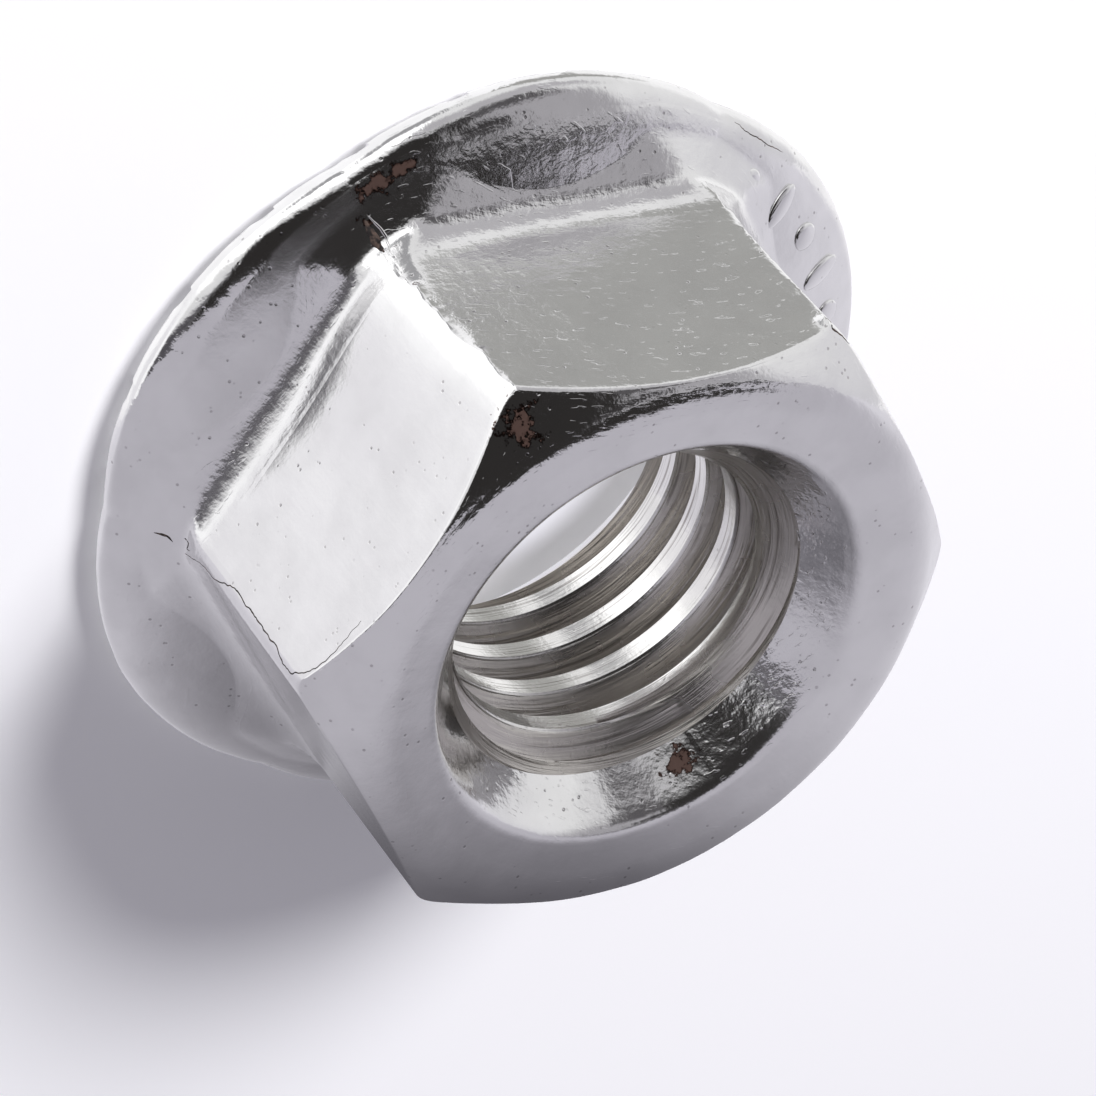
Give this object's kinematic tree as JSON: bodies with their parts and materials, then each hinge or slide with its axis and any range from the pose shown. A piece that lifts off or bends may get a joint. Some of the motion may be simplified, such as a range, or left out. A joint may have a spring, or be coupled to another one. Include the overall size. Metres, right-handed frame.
{
  "type": "serrated flange nut",
  "caption": "Hex nut with a wide round flange in one piece, locking teeth on the bearing face and a threaded through hole.",
  "frame": {"origin": "centre of the bearing face, on the thread axis: the centre of the base that the nut stands on", "axes": "+Z along the thread axis, from the flange to the chamfered front; +X through a corner of the hexagon"},
  "size_m": [0.0174, 0.0178, 0.008],
  "materials": {
    "stainless": "bright cold-formed stainless steel, tumbled, with fine tool marks"
  },
  "bodies": {
    "root": {"flange_nut": "stainless"}
  },
  "joints": []
}
